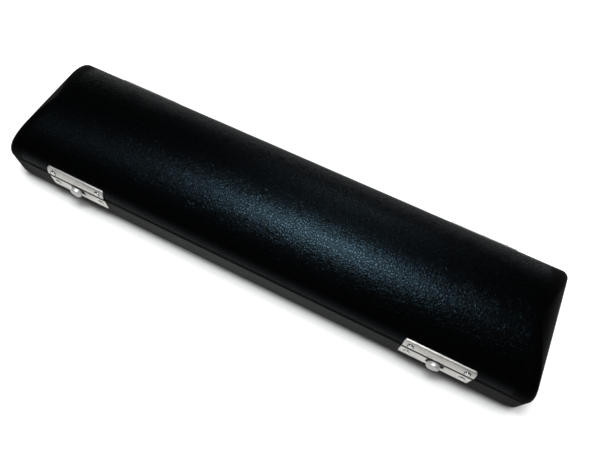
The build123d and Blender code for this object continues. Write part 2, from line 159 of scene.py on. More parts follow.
class CaseMetalSettings(bpy.types.PropertyGroup):
    """Softening of the edges of the metal"""

    plate_edge: length("Plate edge", "Softening of the plates' edges", 0.40)
    small_edge: length("Small edge", "Softening of the edges of knobs and hinges", 0.08)


class CaseFinishSettings(bpy.types.PropertyGroup):
    """Colours of the finishes, and the size of the grain"""

    leather: colour("Leatherette", "Colour of the leatherette", (0.0007, 0.0008, 0.0009))
    leather_sheen: colour("Leatherette gloss", "Tint of its gloss", (0.45, 0.78, 1.0))
    grain: length("Grain", "Size of the pebbles in the leatherette", 1.9)
    plush: colour("Plush", "Colour of the plush", (0.012, 0.022, 0.11))
    plush_tip: colour("Plush tips", "Colour of the pile where it catches the light", (0.10, 0.16, 0.45))
    nickel: colour("Nickel", "Colour of the nickel plates", (0.76, 0.735, 0.70))
    bright_nickel: colour("Bright nickel", "Colour of the polished nickel", (0.80, 0.79, 0.77))
    steel: colour("Steel", "Colour of the steel inside the latches", (0.42, 0.42, 0.43))
    wood: colour("Board", "Colour of the wooden shells", (0.52, 0.36, 0.21))


class CaseStageSettings(bpy.types.PropertyGroup):
    """Camera, floor and lamps"""

    camera_place: FloatVectorProperty(
        name="Camera", description="Where the camera stands", default=(0.0798, -0.1550, 0.3461), unit="LENGTH"
    )
    camera_turn: FloatVectorProperty(
        name="Camera turn",
        description="How the camera is turned",
        default=(math.radians(26.90), math.radians(-2.34), math.radians(26.32)),
        subtype="EULER",
    )
    lens: FloatProperty(
        name="Lens", description="Focal length on a 36 mm sensor, in mm", default=30.52, min=1.0
    )
    floor: colour("Floor", "Colour of the floor", (0.45, 0.45, 0.43))
    floor_glow: factor("Floor glow", "How much whiter the floor is seen than it is lit", 0.80)
    mirrored_glow: factor("Mirrored glow", "The same, as the metal and the leather mirror it", 0.45)
    lamp: colour("Lamp", "Colour of the lamps", (0.93, 0.97, 1.0))
    lamp_power: power("Lamp power", "Power of the panel overhead, in W", 4.4)
    side_power: power("Side power", "Power of the dim panel at its left, in W", 0.4)
    ceiling_power: power("Ceiling power", "Power of the dim field behind it, in W", 0.5)
    window_power: power("Window power", "Power of the low window behind, in W", 1.3)


SETTINGS = {
    "case_shell": CaseShellSettings,
    "case_lining": CaseLiningSettings,
    "case_metal": CaseMetalSettings,
    "case_finish": CaseFinishSettings,
    "case_stage": CaseStageSettings,
}


# ---------------------------------------------------------------- surfaces
def grid_faces(rows, columns, close_rows=False, close_columns=False):
    """The quads of a grid of points, stored row by row; either way it may join up with its start."""
    row = np.arange(rows if close_rows else rows - 1)[:, None]
    column = np.arange(columns if close_columns else columns - 1)[None, :]
    next_row = (row + 1) % rows
    next_column = (column + 1) % columns
    quad = (
        row * columns + column,
        row * columns + next_column,
        next_row * columns + next_column,
        next_row * columns + column,
    )
    return np.stack(np.broadcast_arrays(*quad), axis=-1).reshape(-1, 4)


def signed_volume(points, faces):
    """Sum of the wedges between the origin and each quad's two triangles; below 0 on a shape inside out."""
    a, b, c, d = (points[faces[:, i]] for i in range(4))
    return float(np.sum(np.einsum("ij,ij->i", a, np.cross(b, c) + np.cross(c, d))) / 6)


def linked(name, data):
    """A new object for a mesh, a lamp or a camera, in the scene."""
    made = bpy.data.objects.new(name, data)
    bpy.context.scene.collection.objects.link(made)
    return made


def new_piece(name, points, faces, body, slot, stands_for):
    """A closed mesh of quads as a piece of the case: welded where it meets itself, facing outwards."""
    points = np.asarray(points, float).reshape(-1, 3)
    if signed_volume(points, faces) < 0:
        faces = faces[:, ::-1]
    mesh = bpy.data.meshes.new(name)
    mesh.vertices.add(len(points))
    mesh.vertices.foreach_set("co", points.astype(np.float32).ravel())
    mesh.loops.add(faces.size)
    mesh.loops.foreach_set("vertex_index", faces.astype(np.int32).ravel())
    mesh.polygons.add(len(faces))
    mesh.polygons.foreach_set("loop_start", np.arange(0, faces.size, 4, dtype=np.int32))
    mesh.polygons.foreach_set("use_smooth", np.ones(len(faces), bool))
    mesh.update(calc_edges=True)
    work = bmesh.new()
    work.from_mesh(mesh)
    bmesh.ops.remove_doubles(work, verts=work.verts, dist=CLOSE)
    work.to_mesh(mesh)
    work.free()
    return settle(linked(name, mesh), body, slot, stands_for)


def settle(piece, body, slot, stands_for):
    """Gives a piece its body and its slot's finish, and hides the nodes that it stands for."""
    piece.data.materials.clear()
    piece.data.materials.append(finish_for(slot))
    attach(piece, body)
    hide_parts(*stands_for)
    return piece


def plan_pattern(along, across, corner):
    """Weights that place points round a rounded rectangle.

    A point is the rectangle's corner centre times the first two weights, plus the corner radius times
    the last two. On a side, one of the first two runs evenly from -1 to 1; on a corner the last two are
    the cosine and sine of its angle."""
    turn = np.linspace(0, math.pi / 2, corner, endpoint=False)
    sides = []
    for quarter, count in enumerate((along, across, along, across)):
        run = np.linspace(-1, 1, count, endpoint=False)
        still = np.ones(count)
        side = (
            (run, -still, 0 * still, -still),
            (still, run, still, 0 * still),
            (-run, still, 0 * still, still),
            (-still, -run, -still, 0 * still),
        )[quarter]
        angle = turn + (quarter - 1) * math.pi / 2
        sign_x, sign_y = ((1, -1), (1, 1), (-1, 1), (-1, -1))[quarter]
        arc = np.broadcast_arrays(sign_x, sign_y, np.cos(angle), np.sin(angle))
        sides += [np.stack(side, axis=1), np.stack(arc, axis=1)]
    return np.concatenate(sides)


def rings(half_length, half_width, corner, height, pattern):
    """One rounded rectangle for each height: a grid of points, ring by ring."""
    half_length, half_width, corner, height = (
        np.asarray(v, float)[:, None] for v in np.broadcast_arrays(half_length, half_width, corner, height)
    )
    corner = np.minimum(corner, np.minimum(half_length, half_width))
    x = pattern[:, 0] * (half_length - corner) + pattern[:, 2] * corner
    y = pattern[:, 1] * (half_width - corner) + pattern[:, 3] * corner
    return np.stack((x, y, np.broadcast_to(height, x.shape)), axis=-1)


def waves(points, wavelength, seed, count=7):
    """Slow waves from -1 to 1: the mean of several sines, each along its own direction through space and
    0.6 to 1.8 times as long as the wavelength."""
    draw = np.random.default_rng(seed)
    directions = draw.normal(size=(count, 3))
    directions /= np.linalg.norm(directions, axis=1, keepdims=True)
    pitch = 2 * math.pi / (wavelength * draw.uniform(0.6, 1.8, size=count))
    phase = draw.uniform(0, 2 * math.pi, size=count)
    return np.sin(np.einsum("...k,nk->...n", points, directions) * pitch + phase).mean(axis=-1)


def grid_normals(grid):
    """Unit normals of a grid of rings, from the cross product of its two directions' differences."""
    along = np.roll(grid, -1, axis=1) - np.roll(grid, 1, axis=1)
    down = np.gradient(grid, axis=0)
    normal = np.cross(along, down)
    return normal / np.maximum(np.linalg.norm(normal, axis=-1, keepdims=True), 1e-12)


def signed_power(value, power):
    """The power of a value's size, with the value's own sign."""
    return np.sign(value) * abs(value) ** power


def ease(value):
    """Smooth step from 0 to 1: three times the value's square less twice its cube."""
    value = np.clip(value, 0, 1)
    return value * value * (3 - 2 * value)


def smooth_most(a, b, reach):
    """The larger of two values, eased over where they are about equal."""
    share = np.clip(0.5 + 0.5 * (a - b) / reach, 0, 1)
    return b + (a - b) * share + reach * share * (1 - share) * (np.minimum(a, b) > 0)


# ---------------------------------------------------------------- forms of the lid, the rims and the tray
class LidForm:
    """The lid's arched form, which may be drawn in by an inset.

    Across, a shoulder arc rises from each long wall and meets the crown's wide arc at the split angle.
    Along, a straight end wall is followed by an arc, and a small arc eases that into the crown. The
    corners in plan widen with the square of the height."""

    WIDENING = 0.6      # how much wider than at the rim the corners would be at the ridge

    def __init__(self, shell):
        self.half_length = LID_HIGH[0]
        self.half_width = LID_HIGH[1]
        self.base = LID_LOW[2]
        self.rise = LID_HIGH[2] - LID_LOW[2]
        self.shoulder = shell.shoulder
        across = self.half_width - self.shoulder
        self.crown = (across**2 + self.rise**2 - self.shoulder**2) / (2 * (self.rise - self.shoulder))
        self.split = math.atan2(self.crown - self.rise, across)
        self.end_wall = shell.end_wall
        self.end = (self.rise - self.end_wall) / math.sin(shell.end_turn)
        self.corner = shell.corner

    def arch_heights(self, inset, shoulder_steps, crown_steps):
        """Heights above the rim, from the rim to the ridge, at even angles round both arcs."""
        on_shoulder = np.linspace(0, self.split, shoulder_steps, endpoint=False)
        on_crown = np.linspace(self.split, math.pi / 2, crown_steps)
        low = (self.shoulder - inset) * np.sin(on_shoulder)
        high = (self.crown - inset) * np.sin(on_crown) - (self.crown - self.rise)
        return np.concatenate((low, high))

    def rings(self, height, inset, pattern):
        """Rings at heights above the rim, each drawn in by its inset."""
        height, inset = np.broadcast_arrays(np.asarray(height, float), np.asarray(inset, float))
        shoulder = self.shoulder - inset
        crown = self.crown - inset
        on_shoulder = self.half_width - self.shoulder + np.sqrt(np.maximum(shoulder**2 - height**2, 0))
        on_crown = np.sqrt(np.maximum(crown**2 - (height + self.crown - self.rise) ** 2, 0))
        half_width = np.where(height < shoulder * math.sin(self.split), on_shoulder, on_crown)

        end = self.end - inset
        centre = self.half_length - self.end
        above = np.maximum(height - self.end_wall, 0)
        half_length = centre + np.sqrt(np.maximum(end**2 - above**2, 0))
        soft = np.maximum(self.corner - inset, MM)
        level = self.rise - inset - soft
        soft_centre = centre + np.sqrt(np.maximum((end - soft) ** 2 - (level - self.end_wall) ** 2, 0))
        meets = self.end_wall + end * (level - self.end_wall) / (end - soft)
        eased = soft_centre + np.sqrt(np.maximum(soft**2 - (height - level) ** 2, 0))
        half_length = np.where(height > meets, eased, half_length)

        corner = np.maximum(self.corner - inset, MM) * (1 + self.WIDENING * (height / self.rise) ** 2)
        return rings(half_length, half_width, corner, self.base + height, pattern)


def quarter_turn(steps):
    """Cosines and sines of the angles inside a quarter turn."""
    angle = np.linspace(0, math.pi / 2, steps + 1)[1:]
    return np.cos(angle), np.sin(angle)


def strip(inset, height):
    """Points of a profile, an inset and a height in each row; either may be one number for all."""
    return np.stack(np.broadcast_arrays(inset, height), axis=1)


def rim_profile(shell):
    """Insets and heights of leatherette that goes over a rim: down the outside, round, across the rim,
    round again and along the inside to its cut edge, then back on the board's side of it."""
    around = shell.rim_round
    wall = shell.skin + shell.board
    mouth = wall + shell.skin
    slant = shell.skin / 4      # the cut edge is a little narrower than the leatherette
    cosine, sine = quarter_turn(5)
    across = np.linspace(around, mouth - around, 6)[1:]
    inside = np.linspace(around, shell.turn_in - slant, 6)[1:]
    board_side = np.linspace(shell.turn_in - slant, shell.skin, 4)
    back = np.linspace(wall, shell.skin, 4)[1:]
    return np.concatenate(
        (
            strip(around * (1 - cosine), around * (1 - sine)),
            strip(across, 0.0),
            strip(mouth - around * (1 - sine), around * (1 - cosine)),
            strip(mouth, inside),
            strip((mouth - slant, wall + slant), shell.turn_in),
            strip(wall, board_side),
            strip(back, shell.skin),
        )
    )


class TrayForm:
    """The tray's surface, as a depth below the tray's top.

    The front channel is for the flute's body, the rear one for its head joint and foot joint. The rib
    between them stands where both channels leave equal lands at the walls."""

    STEP_X, STEP_Y = 1.15 * MM, 1.3 * MM
    LEAST_STEP = 0.09 * MM
    NEAR_EDGE = np.array([-2.2, -1.8, -1.4, -1.0, -0.7, -0.4, -0.2, 0.0, 0.2, 0.4, 0.7, 1.2, 2.0, 3.0]) * MM
    NEAR_RIM = np.array([0.0, 0.1, 0.3, 0.6, 1.0, 1.5, 2.0]) * MM
    CHANNEL_CORNER = 4 * MM
    STEEP = 0.7 * MM             # how far a channel's steep wall leans in
    SCOOP_LIFT = 2 * MM          # the scoops' centres lie this far above the tray's top
    SCOOP_BLEND = 1.6 * MM
    RIM_ROUND = 2 * MM

    def __init__(self, lining):
        self.lining = lining
        self.half_length, self.half_width = FOAM_HIGH[:2]
        land = (2 * self.half_width - lining.body_channel_width - lining.joint_channel_width - lining.rib) / 2
        self.rib = -self.half_width + land + lining.body_channel_width + lining.rib / 2

    def plan(self):
        """The X and Y of a grid whose lines are drawn together at the channels' edges."""
        lining = self.lining
        edges = (
            self.rib - lining.rib / 2,
            self.rib + lining.rib / 2,
            self.rib + lining.rib / 2 + lining.joint_channel_width,
            self.rib - lining.rib / 2 - lining.body_channel_width,
        )
        return np.meshgrid(
            self.lines(self.half_length, [lining.body_channel_length / 2], self.STEP_X),
            self.lines(self.half_width, edges, self.STEP_Y),
        )

    def lines(self, half, edges, step):
        """Even lines from -half to half, and closer ones at the rim and on both sides of each edge."""
        places = [np.linspace(-half, half, int(2 * half / step))]
        for edge in edges:
            places += [side * (abs(edge) + turn * self.NEAR_EDGE) for side in (-1, 1) for turn in (-1, 1)]
        rim = half - self.NEAR_RIM
        line = np.unique(np.round(np.concatenate(places + [rim, -rim]), 5))
        line = line[abs(line) <= half + 1e-9]
        return line[np.concatenate(([True], np.diff(line) > self.LEAST_STEP))]

    def to_rim(self, x, y):
        """Distance to the nearest side of the tray."""
        return np.minimum(self.half_length - abs(x), self.half_width - abs(y))

    def depth(self, x, y):
        """The deeper of the channels and the scoops through the rib, and the arc round the tray's rim."""
        lining = self.lining
        half = lining.body_channel_length / 2
        body = self.rib - (lining.rib + lining.body_channel_width) / 2
        joint = self.rib + (lining.rib + lining.joint_channel_width) / 2
        channels = np.maximum(
            self.channel(x, y - body, half, lining.body_channel_width / 2),
            self.channel(x, y - joint, half, lining.joint_channel_width / 2),
        )
        from_scoop = np.minimum(abs(x - lining.scoop_offset), abs(x + lining.scoop_offset))
        scoop = np.sqrt(np.maximum(lining.scoop_radius**2 - from_scoop**2, 0)) - self.SCOOP_LIFT
        scoop = np.where(abs(y - self.rib) < lining.rib, scoop, 0)
        deep = smooth_most(channels, np.maximum(scoop, 0), self.SCOOP_BLEND)
        around = self.RIM_ROUND
        outer = around - np.sqrt(np.maximum(around**2 - np.maximum(around - self.to_rim(x, y), 0) ** 2, 0))
        return deep + outer

    def channel(self, x, y, half_length, half_width):
        """One channel: a lip that rolls over, a steep wall and a round floor, by distance from its edge."""
        lining = self.lining
        corner, steep, lip = self.CHANNEL_CORNER, self.STEEP, lining.lip
        out_x = abs(x) - (half_length - corner)
        out_y = abs(y) - (half_width - corner)
        away = np.hypot(np.maximum(out_x, 0), np.maximum(out_y, 0)) + np.minimum(np.maximum(out_x, out_y), 0)
        inwards = corner - away
        around = lining.channel_round
        roll = lip - np.sqrt(np.maximum(lip**2 - np.clip(inwards + lip, 0, lip) ** 2, 0))
        wall = (lining.channel_depth - around - lip) * np.clip(inwards / steep, 0, 1)
        floor = np.sqrt(np.maximum(around**2 - np.clip(around - (inwards - steep), 0, around) ** 2, 0))
        return roll + wall + np.where(inwards > steep, floor, 0)


# ---------------------------------------------------------------- finishes
class Signal:
    """A shader socket that can be used in sums; each operation adds its own Math node."""

    def __init__(self, finish, socket):
        self.finish = finish
        self.socket = socket

    def math(self, operation, *values):
        """The result of a Math node, on this signal alone unless values are given."""
        inputs = dict(enumerate(values or (self,)))
        node = self.finish.add("ShaderNodeMath", {"operation": operation}, inputs)
        return Signal(self.finish, node.outputs[0])

    def __add__(self, other):
        return self.math("ADD", self, other)

    def __radd__(self, other):
        return self.math("ADD", other, self)

    def __sub__(self, other):
        return self.math("SUBTRACT", self, other)

    def __rsub__(self, other):
        return self.math("SUBTRACT", other, self)

    def __mul__(self, other):
        return self.math("MULTIPLY", self, other)

    def __rmul__(self, other):
        return self.math("MULTIPLY", other, self)

    def away(self, value):
        """Distance from a value."""
        return (self - value).math("ABSOLUTE")

    def most(self, other):
        """The larger of two."""
        return self.math("MAXIMUM", self, other)

    def ramp(self, low, high, start=0.0, end=1.0):
        """Smoothly from start to end as the value goes from low to high."""
        inputs = {"Value": self, 1: low, 2: high, 3: start, 4: end}
        node = self.finish.add("ShaderNodeMapRange", {"interpolation_type": "SMOOTHSTEP"}, inputs)
        return Signal(self.finish, node.outputs[0])


class Finish:
    """A procedural material or world: its node tree, with one way to add a node."""

    def __init__(self, name, plain=(), owner=None):
        self.owner = owner or bpy.data.materials.new(name)
        self.owner.use_nodes = True
        self.tree = self.owner.node_tree
        self.shader = self.tree.nodes.get("Principled BSDF")
        self.fill(self.shader, plain)

    def add(self, kind, settings=(), inputs=()):
        """Adds a node; its settings are set first, then the values or links of its sockets."""
        node = self.tree.nodes.new(kind)
        for key, value in dict(settings).items():
            setattr(node, key, value)
        self.fill(node, inputs)
        return node

    def fill(self, node, inputs):
        """Links each signal or socket to the node's socket of that name, or sets its plain value."""
        for key, value in dict(inputs).items():
            value = value.socket if isinstance(value, Signal) else value
            if isinstance(value, bpy.types.NodeSocket):
                self.tree.links.new(value, node.inputs[key])
            else:
                node.inputs[key].default_value = value

    def place(self, stretch=(1.0, 1.0, 1.0)):
        """Object coordinates, stretched along the axes."""
        coordinates = self.add("ShaderNodeTexCoord").outputs["Object"]
        mapping = self.add("ShaderNodeMapping", {}, {"Vector": coordinates, "Scale": stretch})
        return mapping.outputs[0]

    def noise(self, place, scale, detail=3.0, roughness=0.5, distortion=0.0):
        """Soft noise, mostly between 0.3 and 0.7."""
        inputs = {"Vector": place, "Scale": scale, "Detail": detail}
        inputs |= {"Roughness": roughness, "Distortion": distortion}
        return Signal(self, self.add("ShaderNodeTexNoise", {}, inputs).outputs["Fac"])

    def cells(self, place, scale, feature="DISTANCE_TO_EDGE"):
        """Irregular cells: the distance to a cell's edge, or with F1 to its middle."""
        node = self.add("ShaderNodeTexVoronoi", {"feature": feature}, {"Vector": place, "Scale": scale})
        return Signal(self, node.outputs["Distance"])

    def shifted(self, place, by, amount):
        """A place moved about by a noise's colour, which bends straight patterns."""
        noise = self.add("ShaderNodeTexNoise", {}, {"Vector": place, "Scale": by, "Detail": 2.0})
        centred = self.vector("SUBTRACT", noise.outputs["Color"], (0.5, 0.5, 0.5))
        return self.vector("ADD", place, self.vector("MULTIPLY", centred, (amount, amount, amount)))

    def vector(self, operation, *values):
        """The result of a Vector Math node."""
        return self.add("ShaderNodeVectorMath", {"operation": operation}, dict(enumerate(values))).outputs[0]

    def along(self, axis, place):
        """The X, Y or Z of a place."""
        return Signal(self, self.add("ShaderNodeSeparateXYZ", {}, {0: place}).outputs[axis])

    def blend(self, amount, dark, light):
        """A colour between two colours."""
        settings = {"data_type": "RGBA", "blend_type": "MIX"}
        node = self.add("ShaderNodeMix", settings, {"Factor": amount, "A": (*dark, 1), "B": (*light, 1)})
        return node.outputs["Result"]

    def set(self, socket, value):
        """Feeds a socket of the finish's own shader."""
        self.fill(self.shader, {socket: value})

    def mix_in(self, amount, plain):
        """Mixes a second, plain shader over the first, by an amount from 0 to 1."""
        other = self.add("ShaderNodeBsdfPrincipled", {}, plain)
        shaders = {0: amount, 1: self.shader.outputs["BSDF"], 2: other.outputs["BSDF"]}
        mixed = self.add("ShaderNodeMixShader", {}, shaders)
        self.fill(self.tree.nodes["Material Output"], {"Surface": mixed.outputs[0]})

    def bump(self, height, distance):
        """Small relief: a height of 1 stands out by the distance."""
        node = self.add("ShaderNodeBump", {}, {"Height": height, "Distance": distance})
        self.set("Normal", node.outputs["Normal"])


def shaded(colour, share):
    """A colour whose parts are all multiplied by a share."""
    return tuple(share * part for part in colour)


def leatherette(look):
    """Grained leatherette: small pebbles between fine creases, with broader wrinkles through them.

    A dull black shader is mixed in as painted shade: over the creases, in the groove between the two
    rims, and in part on the walls under the lid's shoulder and on the lid's turned-down ends."""
    plain = {"Specular IOR Level": 0.15, "Specular Tint": (*look.leather_sheen, 1)}
    finish = Finish("leatherette", plain)
    half_length = LID_HIGH[0]
    place = finish.place()
    bent = finish.shifted(place, 300.0, 1.2 * MM)
    pebbles = finish.cells(bent, 1 / look.grain).ramp(0.0, 0.32)
    small = finish.cells(bent, 2.2 / look.grain).ramp(0.0, 0.35)
    wrinkles = finish.noise(place, 260.0, detail=3.0, roughness=0.55, distortion=0.8)
    creases = finish.noise(place, 330.0, detail=2.0, distortion=1.2).away(0.5).ramp(0.0, 0.09)
    pores = finish.noise(place, 3000.0, detail=2.0)
    height_mm = 0.055 * pebbles + 0.015 * small + 0.06 * wrinkles + 0.03 * creases + 0.003 * pores
    finish.bump(height_mm, MM)
    # Painted shade: the base colour is darker in the creases between pebbles, and a little with the wrinkles.
    crease_shade = pebbles * 0.7 + wrinkles * 0.3
    dark = shaded(look.leather, 0.45)
    finish.set("Base Color", finish.blend(crease_shade, dark, look.leather))
    finish.set("Roughness", 0.23 - 0.08 * pebbles + 0.04 * finish.noise(place, 60.0))
    level = finish.along("Z", place)
    off_middle = finish.along("X", place).away(0.0)
    off_seam = level.away(SEAM)
    # Painted shade: the dull black shader darkens the groove between the two rims at the parting line.
    groove_shade = off_seam.ramp(2.6 * MM, 3.6 * MM, 1.0, 0.0) * off_seam.ramp(0.2 * MM, 0.5 * MM, 0.4, 1.0)
    # Painted shade: less gloss on the lid's wall just above the parting line and on the base's walls, more so
    # towards the base's ends.
    lid_wall_shade = level.ramp(SEAM - MM, SEAM + MM) * level.ramp(SEAM + 8 * MM, SEAM + 18 * MM, 0.6, 0.0)
    base_wall_shade = level.ramp(SEAM - MM, SEAM + MM, 1.0, 0.0) * off_middle.ramp(0.0, half_length, 0.68, 0.90)
    # Painted shade on the lid's turned-down ends.
    ends = off_middle.ramp(half_length - 20 * MM, half_length - 11 * MM, 0.0, 0.95)
    # Painted shade in the fine creases between pebbles.
    deep = 0.65 * finish.cells(bent, 1 / look.grain).ramp(0.03, 0.20, 1.0, 0.0)
    # All these masks mix in the dull black shader, which paints shade.
    painted_shade = groove_shade.most(lid_wall_shade + base_wall_shade).most(ends).most(deep)
    finish.mix_in(painted_shade, {"Base Color": (*dark, 1), "Roughness": 0.6, "Specular IOR Level": 0.03})
    return finish.owner


def plush(look):
    """Cut pile: deep colour, lighter where the pile leans as painted sheen, and fine fibres in the bump."""
    sheen = {"Sheen Weight": 0.9, "Sheen Roughness": 0.35, "Sheen Tint": (*look.plush_tip, 1)}
    finish = Finish("plush", {**sheen, "Specular IOR Level": 0.15})
    place = finish.place()
    leaning = finish.noise(place, 45.0, detail=3.0, distortion=1.5).ramp(0.35, 0.7)
    tufts = finish.noise(place, 900.0, detail=3.0, roughness=0.6)
    fibres = finish.noise(place, 5200.0, detail=2.0)
    # Painted sheen: lighter colour where the pile leans; the tufts vary the tone at random.
    finish.set("Base Color", finish.blend(leaning * 0.5 + tufts * 0.5, look.plush, shaded(look.plush, 1.9)))
    finish.set("Roughness", 0.82 + 0.15 * tufts)
    finish.bump(tufts * 0.6 + fibres * 0.5 + leaning * 0.3, 0.35 * MM)
    return finish.owner


def nickel(name, tone, roughness, brushing, metallic=1.0, bend=None):
    """Nickel: fine brushed lines along the case, faint stains and softly changing gloss, which is less
    between the two heights of a bend and above it."""
    finish = Finish(name, {"Metallic": metallic})
    lines = finish.noise(finish.place((14.0, 2600.0, 2600.0)), 1.0, detail=4.0, roughness=0.7)
    stains = finish.noise(finish.place(), 320.0, detail=4.0, roughness=0.6)
    finish.set("Base Color", finish.blend(stains.ramp(0.35, 0.75), tone, shaded(tone, 0.86)))
    rough = roughness + brushing * 0.08 * lines + 0.06 * stains.ramp(0.4, 0.8)
    if bend:
        rough = rough + finish.along("Z", finish.place()).ramp(*bend, 0.0, 0.22)
    finish.set("Roughness", rough)
    finish.bump(lines, brushing * 0.02 * MM)
    return finish


def plate_nickel(look):
    """Brushed nickel of the latch plates, with painted shade in black on the front: a line where the two
    plates of a latch meet, and rings round the rivets."""
    bend = (STRIKE_TOP - 6.5 * MM, STRIKE_TOP - 3 * MM)
    finish = nickel("brushed_nickel", look.nickel, 0.30, 1.0, bend=bend)
    place = finish.place()
    level = finish.along("Z", place)
    front = finish.along("Y", place).ramp(BASE_LOW[1], 0.0, 1.0, 0.0)
    # Painted shade: a black line along the seam between the two plates.
    seam_shade = level.away(SEAM + 0.5 * MM).ramp(1.2 * MM, 1.9 * MM, 1.0, 0.0)
    # Painted shade: dark rings round the rivets.
    low, high = LOCK_RIVETS[:, 2].mean(), STRIKE_RIVETS[:, 2].mean()
    latch = (PLATE_LOW[0] + PLATE_HIGH[0]) / 2
    radius = (LOCK_RIVETS[1, 2] - LOCK_RIVETS[0, 2]) / 2
    spread = LOCK_RIVETS[1, 0] - radius - latch
    across = finish.along("X", place).away(0.0).away(latch).away(spread)
    up = level.away((low + high) / 2).away((high - low) / 2)
    ring = (across * across + up * up).math("SQRT").ramp(radius + 0.3 * MM, radius + 0.9 * MM, 1.0, 0.0)
    finish.mix_in(front * seam_shade.most(ring * 0.85), {"Base Color": (0.02, 0.02, 0.02, 1), "Roughness": 0.7})
    return finish.owner


def plain_steel(look):
    """Zinc plated steel: a mottled, satin surface."""
    finish = Finish("plain_steel", {"Metallic": 1.0})
    mottle = finish.cells(finish.place(), 700.0, feature="F1").ramp(0.1, 0.7)
    finish.set("Base Color", finish.blend(mottle, shaded(look.steel, 0.7), look.steel))
    finish.set("Roughness", 0.34 + 0.14 * mottle)
    return finish.owner


def bare_board(look):
    """Bare board: long grain lines along the case with fine pores."""
    finish = Finish("bare_board")
    grain = finish.noise(finish.place((6.0, 160.0, 160.0)), 1.0, detail=5.0, distortion=0.8)
    pores = finish.noise(finish.place((60.0, 1800.0, 1800.0)), 1.0, detail=2.0)
    finish.set("Base Color", finish.blend(grain * 0.7 + pores * 0.3, shaded(look.wood, 0.55), look.wood))
    finish.set("Roughness", 0.62 + 0.2 * pores)
    finish.bump(grain * 0.4 + pores * 0.6, 0.08 * MM)
    return finish.owner


FINISHES = {
    "leatherette": leatherette,
    "plush": plush,
    "brushed_nickel": plate_nickel,
    "polished_nickel": lambda look: nickel("polished_nickel", look.bright_nickel, 0.42, 0.25, 0.6).owner,
    "fastener_nickel": lambda look: nickel("fastener_nickel", look.bright_nickel, 0.14, 0.1).owner,
    "lock_steel": plain_steel,
    "wood_board": bare_board,
}
finishes_made = {}


def finish_for(slot):
    """The finish of a material slot, made once."""
    if slot not in finishes_made:
        finishes_made[slot] = FINISHES[slot](bpy.context.scene.case_finish)
    return finishes_made[slot]


# ---------------------------------------------------------------- pieces that keep a node's shape
def both(*parts):
    """The nodes of these parts at the left and at the right latch or hinge."""
    return [f"{side}_{part}" for side in SIDES for part in parts]


def softened(node, name, edge):
    """A merged copy of a node with softened edges, which stands for it."""
    mesh = frame["nodes"][node].data.copy()
    mesh.name = name
    work = bmesh.new()
    work.from_mesh(mesh)
    bmesh.ops.remove_doubles(work, verts=work.verts, dist=CAD_CLOSE)
    bmesh.ops.dissolve_limit(
        work, angle_limit=FLAT_ANGLE, verts=work.verts, edges=work.edges, delimit={"NORMAL"}
    )
    for face in work.faces:
        face.smooth = True
    work.to_mesh(mesh)
    work.free()
    piece = linked(name, mesh)
    bevel = piece.modifiers.new("soft edges", "BEVEL")
    bevel.width = edge
    bevel.segments = 2
    bevel.limit_method = "ANGLE"
    bevel.angle_limit = SHARP_ANGLE
    bevel.use_clamp_overlap = True
    bevel.harden_normals = True
    settle(piece, BODY_OF[node], SLOT_OF[node], [node])


def refinish(node):
    """Gives a node that keeps its own mesh the finish of its slot."""
    piece = frame["nodes"][node]
    finish = finish_for(SLOT_OF[node])
    if not piece.material_slots:
        piece.data.materials.append(finish)
    for slot in piece.material_slots:
        slot.material = finish


# ---------------------------------------------------------------- operators
class CASE_OT_base_leather(bpy.types.Operator):
    """Leatherette of the base: round the bottom edge, up the walls, over the rim and down inside"""

    bl_idname = "case.base_leather"
    bl_label = "Base leatherette"

    def execute(self, context):
        """The profile is a closed line of insets and heights, carried round a rounded rectangle."""
        shell = context.scene.case_shell
        height = BASE_HIGH[2]
        edge = shell.bottom_edge
        cosine, sine = quarter_turn(8)
        under = np.linspace(shell.turn_under, edge, 4)
        wall = np.linspace(edge, height - shell.rim_round, 14)[1:]
        board_wall = np.linspace(height - shell.skin, edge, 4)[1:]
        inner = edge - shell.skin
        back = np.linspace(edge, shell.turn_under, 3)[1:]
        profile = np.concatenate(
            (
                strip(under, 0.0),
                strip(edge * (1 - sine), edge * (1 - cosine)),
                strip(0.0, wall),
                rim_profile(shell) * (1, -1) + (0, height),
                strip(shell.skin, board_wall),
                strip(edge - inner * cosine, edge - inner * sine),
                strip(back, shell.skin),
            )
        )
        inset, level = profile.T
        corner = np.maximum(shell.corner - inset, MM)
        pattern = plan_pattern(shell.columns, shell.columns // 5, CORNER_STEPS)
        grid = rings(BASE_HIGH[0] - inset, BASE_HIGH[1] - inset, corner, level, pattern)
        faces = grid_faces(len(grid), len(pattern), close_rows=True, close_columns=True)
        piece = new_piece("base_leather", grid, faces, "base", "leatherette", ["base_covering"])
        for low, high in HOUSINGS:
            self.cut_recess(piece, low, high)
        return {"FINISHED"}

    def cut_recess(self, piece, low, high):
        """Cuts the space of a latch housing out of the rim and the front."""
        room, beyond = 0.2 * MM, 4 * MM
        low = low - (room, beyond, room)
        high = high + (room, room, beyond)
        mesh = bpy.data.meshes.new("recess")
        work = bmesh.new()
        bmesh.ops.create_cube(work, size=1.0)
        for vert in work.verts:
            vert.co = [top if side > 0 else bottom for bottom, top, side in zip(low, high, vert.co)]
        work.to_mesh(mesh)
        work.free()
        cutter = linked("recess", mesh)
        cut = piece.modifiers.new("recess", "BOOLEAN")
        cut.operation = "DIFFERENCE"
        cut.solver = "EXACT"
        cut.object = cutter
        with bpy.context.temp_override(object=piece, active_object=piece, selected_objects=[piece]):
            bpy.ops.object.modifier_apply(modifier=cut.name)
        bpy.data.objects.remove(cutter)


